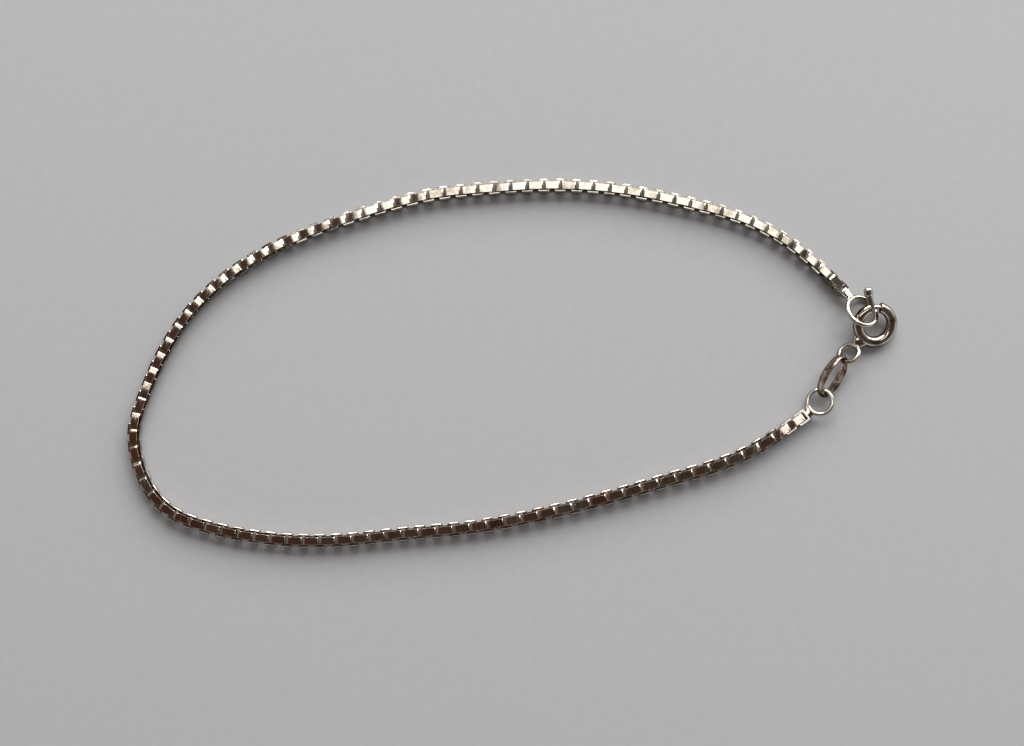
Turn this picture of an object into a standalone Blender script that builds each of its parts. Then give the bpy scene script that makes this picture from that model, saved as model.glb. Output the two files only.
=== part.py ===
"""Box-link chain bracelet lying closed in a loop on a flat surface.

The chain is one line of square links bent from flat strip, each turned a quarter
turn from the last. A ring is soldered to each end of it. The spring ring clasp
holds the far end ring, and a leaf link joins the clasp's bail to the near one.
The tongue in the clasp slides round the clasp's axis when its knob is pushed.
Lengths are in metres and +Z is up. The origin is in the middle of the bracelet's
box, on the surface that it lies on.
"""
import math

import bmesh
import bpy
import numpy as np
from mathutils import Matrix, Vector

MM = 0.001

# Box links: outside length along the chain, outside height, and the strip they are bent from
LINK_COUNT = 191
LINK_LENGTH = 1.46 * MM
LINK_HEIGHT = 1.46 * MM
STRIP_WIDTH = 0.78 * MM
STRIP_THICKNESS = 0.31 * MM
CORNER_CUT = 0.20 * MM

# How far apart the links lie at equal steps along the chain, which is stretched at the near end
LINK_SPACING = (0.950, 0.975, 0.935, 0.900, 0.892, 0.902, 0.912, 0.911, 0.898, 0.880, 0.865)

# The links of one piece touch, and where two pieces meet their end walls keep this gap
MEETING_GAP = 0.06 * MM
LAST_NEAR_LINK = 94

# The route of the chain's centre line seen from above, in mm, from the near end ring to the far one
ROUTE = [
    (31.5, -5.97), (25.1, -10.0), (17.7, -12.5), (10.1, -14.7), (2.5, -16.6),
    (-4.7, -17.9), (-12.0, -18.6), (-19.2, -19.3), (-26.3, -19.1), (-33.6, -17.7),
    (-36.8, -16.4), (-39.3, -14.0), (-40.7, -10.9), (-41.1, -7.2), (-40.2, -4.0),
    (-38.8, -0.6), (-34.8, 5.8), (-29.4, 10.5), (-23.1, 13.8), (-16.1, 16.3),
    (-9.1, 18.2), (-2.0, 19.0), (5.4, 19.3), (12.6, 18.7), (19.5, 17.3),
    (26.1, 15.3), (32.11, 11.58), (35.76, 8.12),
]
ROUTE_SAMPLES = 6000

# The far end of the chain is rolled by its ring, with the inner side of the loop up
END_ROLL = math.radians(45.0)
ROLLED_STRETCH = 9.0 * MM

# End rings: middle of the ring, radius to the middle of the wire, wire radius, tilt and uphill side
FAR_RING_CENTRE = Vector((38.01, 5.81, 1.31)) * MM
FAR_RING_RADIUS = 1.71 * MM
FAR_RING_TILT = math.radians(39.0)
FAR_RING_UPHILL = math.radians(234.0)
NEAR_RING_CENTRE = Vector((33.48, -4.08, 1.15)) * MM
NEAR_RING_RADIUS = 1.37 * MM
NEAR_RING_TILT = math.radians(21.0)
NEAR_RING_UPHILL = math.radians(-27.0)
RING_WIRE = 0.205 * MM

# The solder web between an end link and its ring: half widths in the link, halfway and at the wire
NEAR_WEB = (0.44 * MM, 0.54 * MM, 0.66 * MM)
FAR_WEB = (0.42 * MM, 0.24 * MM, 0.34 * MM)
WEB_HALF_THICKNESS = 0.19 * MM

# Spring ring clasp: tube of the ring, its gap measured from the +Y side, and its tilt
CLASP_CENTRE = Vector((39.47, 4.16, 1.08)) * MM
CLASP_RADIUS = 1.95 * MM
CLASP_TUBE = 0.53 * MM
CLASP_TILT = math.radians(16.0)
CLASP_UPHILL = math.radians(124.0)
GAP_LEFT = math.radians(19.5)
GAP_RIGHT = math.radians(-13.5)

# Cutters run past the ends of what they cut by this angle
CUT_OVERRUN = math.radians(6.0)

# Tongue: a wire in the tube's bore, with a knob on a stem that comes out through a slot
TONGUE_WIRE = 0.27 * MM
BORE_CLEARANCE = 0.06 * MM
TONGUE_TIP = math.radians(-15.5)
TONGUE_TAIL = math.radians(46.0)
BORE_END = math.radians(150.0)
SEAT_END = math.radians(-19.5)
KNOB_ANGLE = math.radians(15.5)
KNOB_TRAVEL = math.radians(31.0)
STEM_RADIUS = 0.32 * MM
KNOB_RADIUS = 0.41 * MM
KNOB_FLATNESS = 0.80
KNOB_START = 3.42 * MM
KNOB_TOP = 4.34 * MM

# The knob's outline: part of the way from its start to its top, and part of its full radius
KNOB_OUTLINE = ((0.0, 0.86), (0.22, 1.0), (0.62, 1.0), (0.88, 0.74), (1.0, 0.36))
SLOT_HALF_HEIGHT = 0.31 * MM

# Bail: the small ring soldered to the clasp, on a short neck
BAIL_CENTRE = Vector((36.61, 1.02, 1.12)) * MM
BAIL_RADIUS = 1.09 * MM
BAIL_WIRE = 0.20 * MM
BAIL_TILT = math.radians(42.5)
BAIL_UPHILL = math.radians(-50.0)
BAIL_NECK_ANGLE = math.radians(137.0)

# The neck's outline: part of the way from tube to bail, its width and its height in wire radii
NECK_OUTLINE = ((0.0, 2.4, 1.3), (0.4, 1.6, 1.3), (0.75, 1.05, 1.05), (1.0, 1.0, 1.0))

# Leaf link: an oval of strip that widens to a leaf on each long side
LEAF_CENTRE = Vector((35.02, -1.50, 1.25)) * MM
LEAF_LENGTH = 5.05 * MM
LEAF_BREADTH = 2.25 * MM
LEAF_THICKNESS = 0.26 * MM
LEAF_END_WIDTH = 0.46 * MM
LEAF_MIDDLE_WIDTH = 1.05 * MM
LEAF_CROWN = 0.06 * MM
LEAF_FULLNESS = 1.5
LEAF_HEADING = math.radians(59.9)
LEAF_ROLL = math.radians(46.5)
LEAF_RISE = math.radians(1.3)

# Facets round each wire and along each ring
WIRE_SIDES = 8
RING_SEGMENTS = 20
TUBE_SIDES = 12
TUBE_SEGMENTS = 28
BORE_SIDES = 8
BORE_SEGMENTS = 13
SLOT_SEGMENTS = 6
TONGUE_SEGMENTS = 8
KNOB_SIDES = 10
LEAF_SEGMENTS = 28

# Edges of the round pieces that are sharper than this stay crisp
CREASE = math.radians(50.0)

PALE_GOLD = (0.80, 0.68, 0.46)
DEEP_GOLD = (0.62, 0.49, 0.33)


def clear_scene():
    """Removes every object that the file opened with."""
    for obj in list(bpy.data.objects):
        bpy.data.objects.remove(obj, do_unlink=True)


def metal(name, colour, roughness):
    """Returns a gold material of its own for one piece."""
    material = bpy.data.materials.new(name)
    material.use_nodes = True
    shader = material.node_tree.nodes["Principled BSDF"]
    shader.inputs["Base Color"].default_value = (*colour, 1.0)
    shader.inputs["Metallic"].default_value = 1.0
    shader.inputs["Roughness"].default_value = roughness
    return material


def finish_mesh(name, bm):
    """Turns a bmesh into an object with its faces pointing out."""
    bmesh.ops.recalc_face_normals(bm, faces=bm.faces)
    mesh = bpy.data.meshes.new(name)
    bm.to_mesh(mesh)
    bm.free()
    obj = bpy.data.objects.new(name, mesh)
    bpy.context.scene.collection.objects.link(obj)
    return obj


def shade_round(obj):
    """Shades a round piece smooth, but for its crisp edges."""
    obj.data.shade_smooth()
    obj.data.set_sharp_from_angle(angle=CREASE)


def make_tool(obj):
    """Marks an object as one that only shapes another."""
    obj.hide_render = True
    obj.display_type = "WIRE"
    return obj


def combine(obj, tool, operation):
    """Joins a tool to an object, or cuts it out of the object."""
    modifier = obj.modifiers.new(tool.name, "BOOLEAN")
    modifier.operation = operation
    modifier.solver = "EXACT"
    modifier.object = make_tool(tool)


def loft(name, loops, closed):
    """Skins a row of point loops, which either closes on itself or gets flat ends."""
    bm = bmesh.new()
    rows = [[bm.verts.new(point) for point in loop] for loop in loops]
    sides = len(rows[0])
    spans = len(rows) if closed else len(rows) - 1
    for i in range(spans):
        first = rows[i]
        second = rows[(i + 1) % len(rows)]
        for j in range(sides):
            k = (j + 1) % sides
            bm.faces.new((first[j], first[k], second[k], second[j]))
    if not closed:
        bm.faces.new(rows[0])
        bm.faces.new(rows[-1])
    obj = finish_mesh(name, bm)
    shade_round(obj)
    return obj


def tilted_frame(centre, tilt, uphill):
    """Returns the frame of a ring that lies flat and is then raised on its uphill side."""
    across = Vector((math.sin(uphill), -math.cos(uphill), 0.0))
    return Matrix.Translation(centre) @ Matrix.Rotation(tilt, 4, across)


def on_circle(frame, radius, angle, height=0.0):
    """Returns a point of a ring, with the angle counted from +Y towards -X."""
    return frame @ Vector((-radius * math.sin(angle), radius * math.cos(angle), height))


def ring_loops(frame, radius, wire, start, end, segments, sides):
    """Returns round wire sections along an arc of a ring."""
    loops = []
    for i in range(segments):
        angle = start + (end - start) * i / (segments - 1)
        loop = []
        for j in range(sides):
            turn = 2.0 * math.pi * (j + 0.5) / sides
            reach = radius + wire * math.cos(turn)
            loop.append(on_circle(frame, reach, angle, wire * math.sin(turn)))
        loops.append(loop)
    return loops


def wire_ring(name, frame, radius, wire):
    """Returns a closed ring of round wire."""
    last = 2.0 * math.pi * (RING_SEGMENTS - 1) / RING_SEGMENTS
    loops = ring_loops(frame, radius, wire, 0.0, last, RING_SEGMENTS, WIRE_SIDES)
    return loft(name, loops, True)


def bar(name, sections):
    """Returns a bar through sections, each a centre, its two side directions and half sizes."""
    loops = []
    for centre, side, up, half_width, half_height in sections:
        loop = [
            centre + side * half_width * math.cos(turn) + up * half_height * math.sin(turn)
            for turn in (math.pi * (2 * j + 1) / WIRE_SIDES for j in range(WIRE_SIDES))
        ]
        loops.append(loop)
    return loft(name, loops, False)


def box_link(bm, frame):
    """Adds one square link: x runs along the chain, y across the ring, z along the strip's width."""
    half_x = LINK_LENGTH / 2
    half_y = LINK_HEIGHT / 2
    half_z = STRIP_WIDTH / 2
    inner_x = half_x - STRIP_THICKNESS
    inner_y = half_y - STRIP_THICKNESS
    outer_ring = []
    inner_ring = []
    for x, y in ((1, 1), (-1, 1), (-1, -1), (1, -1)):
        along_y = (x * half_x, y * (half_y - CORNER_CUT))
        along_x = (x * (half_x - CORNER_CUT), y * half_y)
        outer_ring.extend((along_y, along_x) if x == y else (along_x, along_y))
        inner_ring.append((x * inner_x, y * inner_y))
    outer = [[bm.verts.new(frame @ Vector((x, y, z))) for x, y in outer_ring] for z in (-half_z, half_z)]
    inner = [[bm.verts.new(frame @ Vector((x, y, z))) for x, y in inner_ring] for z in (-half_z, half_z)]
    for i in range(8):
        j = (i + 1) % 8
        bm.faces.new((outer[0][i], outer[0][j], outer[1][j], outer[1][i]))
    for i in range(4):
        j = (i + 1) % 4
        bm.faces.new((inner[0][j], inner[0][i], inner[1][i], inner[1][j]))
        before = 2 * i
        after = 2 * i + 1
        following = (2 * i + 2) % 8
        bm.faces.new((outer[1][before], outer[1][after], inner[1][i]))
        bm.faces.new((outer[0][after], outer[0][before], inner[0][i]))
        bm.faces.new((inner[1][i], outer[1][after], outer[1][following], inner[1][j]))
        bm.faces.new((outer[0][after], inner[0][i], inner[0][j], outer[0][following]))


def smooth_route():
    """Returns lengths, positions and headings along a smooth curve through the route's points."""
    knots = np.array(ROUTE) * MM
    gaps = np.linalg.norm(np.diff(knots, axis=0), axis=1)
    at = np.concatenate(([0.0], np.cumsum(gaps)))
    count = len(knots)
    system = np.eye(count)
    right = np.zeros((count, 2))
    for i in range(1, count - 1):
        system[i, i - 1:i + 2] = (gaps[i - 1], 2.0 * (gaps[i - 1] + gaps[i]), gaps[i])
        change = (knots[i + 1] - knots[i]) / gaps[i] - (knots[i] - knots[i - 1]) / gaps[i - 1]
        right[i] = 6.0 * change
    bend = np.linalg.solve(system, right)
    where = np.linspace(0.0, at[-1], ROUTE_SAMPLES)
    span = np.clip(np.searchsorted(at, where) - 1, 0, count - 2)
    gap = gaps[span][:, None]
    ahead = (at[span + 1] - where)[:, None]
    behind = (where - at[span])[:, None]
    positions = (
        (bend[span] * ahead ** 3 + bend[span + 1] * behind ** 3) / (6.0 * gap)
        + (knots[span] / gap - bend[span] * gap / 6.0) * ahead
        + (knots[span + 1] / gap - bend[span + 1] * gap / 6.0) * behind
    )
    steps = np.linalg.norm(np.diff(positions, axis=0), axis=1)
    lengths = np.concatenate(([0.0], np.cumsum(steps)))
    slopes = np.gradient(positions, lengths, axis=0)
    headings = np.unwrap(np.arctan2(slopes[:, 1], slopes[:, 0]))
    return lengths, positions, headings


def link_frames():
    """Returns each link's frame, with x along the chain and z up before the chain's roll."""
    lengths, positions, headings = smooth_route()
    total = lengths[-1]
    meeting = LINK_LENGTH - 2.0 * STRIP_THICKNESS - MEETING_GAP
    meetings = [0, LAST_NEAR_LINK, LINK_COUNT - 2]
    steps = np.interp(
        np.linspace(0.0, 1.0, LINK_COUNT - 1), np.linspace(0.0, 1.0, len(LINK_SPACING)), LINK_SPACING)
    steps[meetings] = 0.0
    steps *= (total - len(meetings) * meeting) / steps.sum()
    steps[meetings] = meeting
    places = np.concatenate(([0.0], np.cumsum(steps)))
    rolled = places[-2]
    frames = []
    for at in places:
        x = np.interp(at, lengths, positions[:, 0])
        y = np.interp(at, lengths, positions[:, 1])
        heading = np.interp(at, lengths, headings)
        roll = END_ROLL * min(max(1.0 - (rolled - at) / ROLLED_STRETCH, 0.0), 1.0)
        tall = LINK_HEIGHT / 2 * math.cos(roll) + STRIP_WIDTH / 2 * math.sin(roll)
        wide = LINK_HEIGHT / 2 * math.sin(roll) + STRIP_WIDTH / 2 * math.cos(roll)
        height = max(tall, wide)
        turn = Matrix.Rotation(heading, 4, "Z") @ Matrix.Rotation(-roll, 4, "X")
        frames.append(Matrix.Translation((x, y, height)) @ turn)
    return frames


def link_set(name, frames, upright):
    """Returns one object with the links at the given frames, all flat or all upright."""
    bm = bmesh.new()
    stand = Matrix.Rotation(math.pi / 2, 4, "X") if upright else Matrix.Identity(4)
    for frame in frames:
        box_link(bm, frame @ stand)
    return finish_mesh(name, bm)


def chain_half(name, frames, first, last, material):
    """Fuses the flat and the upright links from first to last into one interlocked chain."""
    flat = [frames[i] for i in range(first, last + 1) if i % 2 == 0]
    upright = [frames[i] for i in range(first, last + 1) if i % 2 == 1]
    chain = link_set(name, upright, True)
    combine(chain, link_set(name + "_flat_links", flat, False), "UNION")
    chain.data.materials.append(material)
    return chain


def end_ring(name, link_frame, centre, tilt, uphill, radius, widths, material):
    """Solders a ring to an end link, with a web that runs from inside the link out to the wire."""
    frame = tilted_frame(centre, tilt, uphill)
    ring = wire_ring(name, frame, radius, RING_WIRE)
    link_middle = link_frame.translation
    towards = frame.inverted() @ link_middle
    seat = frame @ (Vector((towards.x, towards.y, 0.0)).normalized() * radius)
    forward = (seat - link_middle).normalized()
    along = (link_frame.to_3x3() @ Vector((1.0, 0.0, 0.0))).normalized()
    if along.dot(forward) < 0.0:
        along = -along
    ring_up = (frame.to_3x3() @ Vector((0.0, 0.0, 1.0))).normalized()
    up = (link_frame.to_3x3() @ Vector((0.0, 0.0, 1.0))).normalized()
    mouth = link_middle + along * (LINK_LENGTH / 2)
    sections = []
    stations = (
        (link_middle, along, up, widths[0]),
        (mouth - along * STRIP_THICKNESS / 2, along, up, widths[0]),
        (mouth.lerp(seat, 0.5), forward, (up + ring_up).normalized(), widths[1]),
        (seat, forward, ring_up, widths[2]),
    )
    for middle, heading, above, half_width in stations:
        side = above.cross(heading).normalized()
        sections.append((middle, side, heading.cross(side).normalized(), half_width, WEB_HALF_THICKNESS))
    combine(ring, bar(name + "_web", sections), "UNION")
    combine(ring, link_set(name + "_link", [link_frame], False), "UNION")
    ring.data.materials.append(material)
    return ring


def clasp_ring(frame, material):
    """Makes the clasp's tube with its gap, bore and slot, and solders the bail to it."""
    tube_end = GAP_RIGHT + 2.0 * math.pi
    tube = loft("clasp_ring", ring_loops(
        frame, CLASP_RADIUS, CLASP_TUBE, GAP_LEFT, tube_end, TUBE_SEGMENTS, TUBE_SIDES), False)
    bore_radius = TONGUE_WIRE + BORE_CLEARANCE
    bore = loft("clasp_bore", ring_loops(
        frame, CLASP_RADIUS, bore_radius, GAP_LEFT - CUT_OVERRUN, BORE_END, BORE_SEGMENTS, BORE_SIDES), False)
    seat = loft("clasp_seat", ring_loops(
        frame, CLASP_RADIUS, bore_radius, SEAT_END, GAP_RIGHT + CUT_OVERRUN, 3, BORE_SIDES), False)
    for cutter in (bore, seat, clasp_slot(frame)):
        combine(tube, cutter, "DIFFERENCE")
    bail_frame = tilted_frame(BAIL_CENTRE, BAIL_TILT, BAIL_UPHILL)
    combine(tube, wire_ring("clasp_bail", bail_frame, BAIL_RADIUS, BAIL_WIRE), "UNION")
    combine(tube, bail_neck(frame, bail_frame), "UNION")
    tube.data.materials.append(material)
    return tube


def clasp_slot(frame):
    """Returns the cutter of the slot that the knob's stem slides in."""
    inside = CLASP_RADIUS
    outside = CLASP_RADIUS + 2.0 * CLASP_TUBE
    stem_turn = (STEM_RADIUS + BORE_CLEARANCE) / CLASP_RADIUS
    start = GAP_LEFT - CUT_OVERRUN
    end = KNOB_ANGLE + KNOB_TRAVEL + stem_turn
    loops = []
    for i in range(SLOT_SEGMENTS):
        angle = start + (end - start) * i / (SLOT_SEGMENTS - 1)
        loops.append([
            on_circle(frame, inside, angle, -SLOT_HALF_HEIGHT),
            on_circle(frame, outside, angle, -SLOT_HALF_HEIGHT),
            on_circle(frame, outside, angle, SLOT_HALF_HEIGHT),
            on_circle(frame, inside, angle, SLOT_HALF_HEIGHT),
        ])
    return loft("clasp_slot", loops, False)


def bail_neck(frame, bail_frame):
    """Returns the short solder neck between the clasp's tube and its bail."""
    root = on_circle(frame, CLASP_RADIUS + CLASP_TUBE / 2, BAIL_NECK_ANGLE)
    towards = bail_frame.inverted() @ root
    seat = bail_frame @ (Vector((towards.x, towards.y, 0.0)).normalized() * BAIL_RADIUS)
    heading = (seat - root).normalized()
    side = heading.cross(Vector((0.0, 0.0, 1.0))).normalized()
    up = side.cross(heading)
    return bar("clasp_neck", [
        (root.lerp(seat, part_way), side, up, BAIL_WIRE * wide, BAIL_WIRE * high)
        for part_way, wide, high in NECK_OUTLINE])


def clasp_tongue(frame, material):
    """Makes the sprung tongue: a wire arc, and a knob on a stem that points out of the slot."""
    loops = ring_loops(
        Matrix.Identity(4), CLASP_RADIUS, TONGUE_WIRE, TONGUE_TIP, TONGUE_TAIL, TONGUE_SEGMENTS, WIRE_SIDES)
    tongue = loft("clasp_tongue", loops, False)
    stem_end = KNOB_START - (KNOB_RADIUS - STEM_RADIUS)
    profile = [(CLASP_RADIUS, STEM_RADIUS), (stem_end, STEM_RADIUS)]
    for part_way, share in KNOB_OUTLINE:
        profile.append((KNOB_START + (KNOB_TOP - KNOB_START) * part_way, KNOB_RADIUS * share))
    turned = Matrix.Rotation(KNOB_ANGLE, 4, "Z")
    knob_loops = []
    for reach, radius in profile:
        loop = []
        for j in range(KNOB_SIDES):
            turn = 2.0 * math.pi * j / KNOB_SIDES
            point = Vector((radius * math.cos(turn), reach, radius * KNOB_FLATNESS * math.sin(turn)))
            loop.append(turned @ point)
        knob_loops.append(loop)
    knob = loft("tongue_knob", knob_loops, False)
    combine(tongue, knob, "UNION")
    tongue.data.materials.append(material)
    tongue.matrix_world = frame
    knob.matrix_world = frame
    return tongue


def leaf_link(material):
    """Makes the oval link whose strip is narrow at the ends and wide as a leaf on the sides."""
    turn = (
        Matrix.Rotation(LEAF_HEADING, 4, "Z")
        @ Matrix.Rotation(-LEAF_RISE, 4, "Y")
        @ Matrix.Rotation(LEAF_ROLL, 4, "X")
    )
    frame = Matrix.Translation(LEAF_CENTRE) @ turn
    half_length = (LEAF_LENGTH - LEAF_THICKNESS) / 2
    half_breadth = (LEAF_BREADTH - LEAF_THICKNESS) / 2
    loops = []
    for i in range(LEAF_SEGMENTS):
        angle = 2.0 * math.pi * i / LEAF_SEGMENTS
        middle = Vector((half_length * math.cos(angle), half_breadth * math.sin(angle), 0.0))
        outward = Vector((half_breadth * math.cos(angle), half_length * math.sin(angle), 0.0)).normalized()
        spread = abs(math.sin(angle)) ** LEAF_FULLNESS
        half_width = (LEAF_END_WIDTH + (LEAF_MIDDLE_WIDTH - LEAF_END_WIDTH) * spread) / 2
        half_wall = LEAF_THICKNESS / 2
        section = (
            (-half_wall, -half_width),
            (half_wall - LEAF_CROWN, -half_width),
            (half_wall, 0.0),
            (half_wall - LEAF_CROWN, half_width),
            (-half_wall, half_width),
        )
        loops.append([frame @ (middle + outward * out + Vector((0.0, 0.0, up))) for out, up in section])
    leaf = loft("leaf_link", loops, True)
    leaf.data.materials.append(material)
    return leaf


def build():
    """Builds every piece of the bracelet."""
    clear_scene()
    frames = link_frames()
    clasp_frame = tilted_frame(CLASP_CENTRE, CLASP_TILT, CLASP_UPHILL)
    chain_half("chain_near_half", frames, 1, LAST_NEAR_LINK, metal("chain_near_gold", DEEP_GOLD, 0.25))
    chain_half("chain_far_half", frames, LAST_NEAR_LINK + 1, LINK_COUNT - 2, metal(
        "chain_far_gold", PALE_GOLD, 0.25))
    end_ring(
        "near_end_ring", frames[0], NEAR_RING_CENTRE, NEAR_RING_TILT, NEAR_RING_UPHILL, NEAR_RING_RADIUS,
        NEAR_WEB, metal("near_ring_gold", PALE_GOLD, 0.20))
    end_ring(
        "far_end_ring", frames[-1], FAR_RING_CENTRE, FAR_RING_TILT, FAR_RING_UPHILL, FAR_RING_RADIUS,
        FAR_WEB, metal("far_ring_gold", PALE_GOLD, 0.20))
    clasp_ring(clasp_frame, metal("clasp_gold", PALE_GOLD, 0.15))
    clasp_tongue(clasp_frame, metal("tongue_gold", PALE_GOLD, 0.15))
    leaf_link(metal("leaf_gold", DEEP_GOLD, 0.30))


build()
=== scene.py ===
"""Dresses the box-link chain bracelet: chain, end rings, spring ring clasp and leaf link in worn gold.

The chain is one line of square links bent from flat strip, each a quarter turn from the last.
Lengths are in metres and +Z is up. The bracelet lies on the surface at z = 0.
"""

import math
import random
from collections import namedtuple

import bmesh
import bpy
import numpy as np
from bpy.props import FloatProperty, FloatVectorProperty, IntProperty, PointerProperty
from mathutils import Matrix, Vector


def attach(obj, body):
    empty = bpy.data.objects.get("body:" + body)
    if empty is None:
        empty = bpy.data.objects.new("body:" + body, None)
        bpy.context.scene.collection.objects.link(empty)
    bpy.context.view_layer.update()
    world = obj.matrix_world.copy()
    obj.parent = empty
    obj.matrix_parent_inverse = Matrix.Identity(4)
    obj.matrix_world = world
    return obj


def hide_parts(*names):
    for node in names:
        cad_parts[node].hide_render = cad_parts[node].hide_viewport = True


bl_info = {
    "name": "Box Chain Bracelet",
    "version": (1, 0, 0),
    "blender": (4, 5, 0),
    "location": "3D View > Sidebar > Bracelet",
    "description": "Models a box-link chain bracelet with a spring ring clasp and a leaf link",
    "category": "Add Mesh",
}

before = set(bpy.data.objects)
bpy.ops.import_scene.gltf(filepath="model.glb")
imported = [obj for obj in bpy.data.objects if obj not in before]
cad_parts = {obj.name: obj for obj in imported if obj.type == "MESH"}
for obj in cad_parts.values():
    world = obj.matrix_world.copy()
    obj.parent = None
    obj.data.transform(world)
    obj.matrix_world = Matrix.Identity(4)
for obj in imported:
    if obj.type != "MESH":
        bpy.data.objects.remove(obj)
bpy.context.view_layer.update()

MM = 0.001
QUARTER = math.pi / 2
ORIGIN = (0.0, 0.0, 0.0)
ALONG = Vector((1.0, 0.0, 0.0))
UP = Vector((0.0, 0.0, 1.0))

# The route of the chain's centre line seen from above, from the near end ring to the far one
ROUTE = [
    (31.5, -5.97), (25.1, -10.0), (17.7, -12.5), (10.1, -14.7), (2.5, -16.6),
    (-4.7, -17.9), (-12.0, -18.6), (-19.2, -19.3), (-26.3, -19.1), (-33.6, -17.7),
    (-36.8, -16.4), (-39.3, -14.0), (-40.7, -10.9), (-41.1, -7.2), (-40.2, -4.0),
    (-38.8, -0.6), (-34.8, 5.8), (-29.4, 10.5), (-23.1, 13.8), (-16.1, 16.3),
    (-9.1, 18.2), (-2.0, 19.0), (5.4, 19.3), (12.6, 18.7), (19.5, 17.3),
    (26.1, 15.3), (32.11, 11.58), (35.76, 8.12),
]
ROUTE_SAMPLES = 6000

# How far apart the links lie, in proportion, at equal steps along the chain
LINK_SPACING = (0.950, 0.975, 0.935, 0.900, 0.892, 0.902, 0.912, 0.911, 0.898, 0.880, 0.865)

# The shorter step between two links of different pieces, and the last link of the near half
MEETING_STEP = 0.78 * MM
LAST_NEAR_LINK = 94

# How gently the chain's roll sets in at the far end, and how abruptly it ends at the near end
END_ROLL_EASE = 1.15
NEAR_ROLL_HOLD = 4

# Spread of a link's lean about each axis as a part of its play, and a flat link's part of the play
LEAN_SPREADS = (("X", 0.5), ("Y", 0.5), ("Z", 0.3))
FLAT_PLAY = 0.4

# Equal parts that a plate is divided into before its middle one is stretched to the level part
PLATE_PARTS = 3

# Places closer than this are the same when a link's inner faces or a leaf's columns are picked,
# and when its rows are, as a part of the strip's half width
WALL_TOLERANCE = 0.02 * MM
COLUMN_TOLERANCE = 0.0005 * MM
ROW_TOLERANCE = 0.1

# Radians up to which neighbouring faces look as one, and the angle from which an edge wears round
SMOOTH_ANGLE = 0.6
LINK_SMOOTH_ANGLE = 0.8
WORN_ANGLE = math.radians(50.0)
WORN_STEPS = 2

# How far a cutter reaches past the end of the tube, and the room round the knob's stem in its slot
CUT_OVERRUN = math.radians(6.0)
STEM_CLEARANCE = 0.06 * MM

# Rounding of the tongue's two ends, and the steps in which a wire's or tube's end is rounded
TONGUE_SOFTNESS = 0.11 * MM
END_STEPS = 3

# The knob's outline: part of the way from its start to its top, and part of its full radius
KNOB_OUTLINE = (
    (0.0, 0.84), (0.06, 0.93), (0.16, 0.99), (0.3, 1.0), (0.6, 1.0), (0.74, 0.93), (0.86, 0.78),
    (0.94, 0.6), (1.0, 0.36),
)

# The neck's outline: part of the way from tube to bail, its width and its height in wire radii
NECK_OUTLINE = (
    (0.0, 3.4, 1.6), (0.3, 3.1, 1.5), (0.5, 2.7, 1.4), (0.68, 2.2, 1.25), (0.84, 1.8, 1.1),
    (1.0, 1.6, 1.0),
)

# Where the near side is reddest: the patch's middle and half its width along x, in millimetres
COPPER_PATCHES = ((0.9, 5.2), (9.1, 1.3))

# The copper sets in below this y and is full at y = 0, and at the left it sets in past this x and
# is full this much further on
COPPER_EDGE = 9.0 * MM
LEFT_EDGE = -33.0 * MM
LEFT_FADE = 4.0 * MM

# Least copper on the near side and at the left, and how much of its place's copper a flat link
# takes, and at most an upright one
NEAR_COPPER = 0.3
LEFT_COPPER = 0.35
FLAT_COPPER = 0.3
UPRIGHT_COPPER = 1.2

# Start of the random draws for each link's lean, copper and tone
WEAR_SEED = 7

# Outlines of the solder webs: part of the way from the link's mouth to the wire, or back inside the
# link where it is negative, then half width and half height in millimetres
NEAR_WEB = (
    (-0.55, 0.58, 0.36), (0.0, 0.62, 0.36), (0.25, 0.58, 0.36), (0.5, 0.54, 0.355), (0.72, 0.56, 0.35),
    (0.88, 0.68, 0.34), (1.0, 0.82, 0.33),
)
FAR_WEB = (
    (-0.5, 0.50, 0.28), (0.0, 0.48, 0.27), (0.25, 0.44, 0.25), (0.5, 0.40, 0.22), (0.75, 0.40, 0.17),
    (1.0, 0.45, 0.13),
)

# How far from its middle a link's mouth lies, in millimetres, and the width of a web's worn edges
MOUTH = 0.6
WEB_SOFTNESS = 0.06 * MM

# The leaf link's columns all round, the cuts that give it rows at its middle, halfway and at its
# rims, and the rows that bulge: part of the way from middle to rim, and part of the crown
LEAF_COLUMNS = 64
LEAF_CUTS = 3
LEAF_ROWS = ((0.0, 1.0), (0.5, 0.75))
LEAF_SOFTNESS = 0.045 * MM

# How far the dents reach from the middle as parts of the leaf's width and half length, and the
# width of a dent's edge
DENTED_WIDTH = 0.3
DENTED_LENGTH = 0.55
DENT_EDGE = 0.03 * MM

# A piece's wear and painted shade: scale of the tarnish patches, film in them, painted shade on the
# steep sides, scale and depth of the scratches, and roughness as a part of the polish setting
WearAndShade = namedtuple("WearAndShade", "patch_scale film side_film scratch_scale relief roughness")
# The patch film is tarnish, but its heavier amounts on the near half, the clasp and the leaf are
# painted shade, and all side film is painted shade
NEAR_CHAIN_WEAR_AND_SHADE = WearAndShade(1100.0, 0.55, 0.6, 2600.0, 0.35, 1.0)
FAR_CHAIN_WEAR_AND_SHADE = WearAndShade(1100.0, 0.35, 0.8, 2600.0, 0.35, 1.0)
RING_WEAR_AND_SHADE = WearAndShade(700.0, 0.35, 0.8, 2200.0, 0.25, 0.9)
CLASP_WEAR_AND_SHADE = WearAndShade(520.0, 0.75, 1.1, 2000.0, 0.2, 0.8)
TONGUE_WEAR_AND_SHADE = WearAndShade(700.0, 0.35, 1.1, 2000.0, 0.2, 0.8)
LEAF_WEAR_AND_SHADE = WearAndShade(900.0, 0.95, 1.1, 2400.0, 0.3, 1.2)

# The tarnish and painted shade: noise levels between which a tarnish patch darkens, how a link's tone
# shifts them, how dark the painted shade on the links' inner faces is, and the face's upward part
# between which the painted shade on steep sides fades in
PATCH_SPAN = (0.50, 0.70)
TONE_SHIFT = 0.22
HOLLOW_SHADE = 0.6
SIDE_SHADE_SPAN = (0.76, 0.38)

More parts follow.
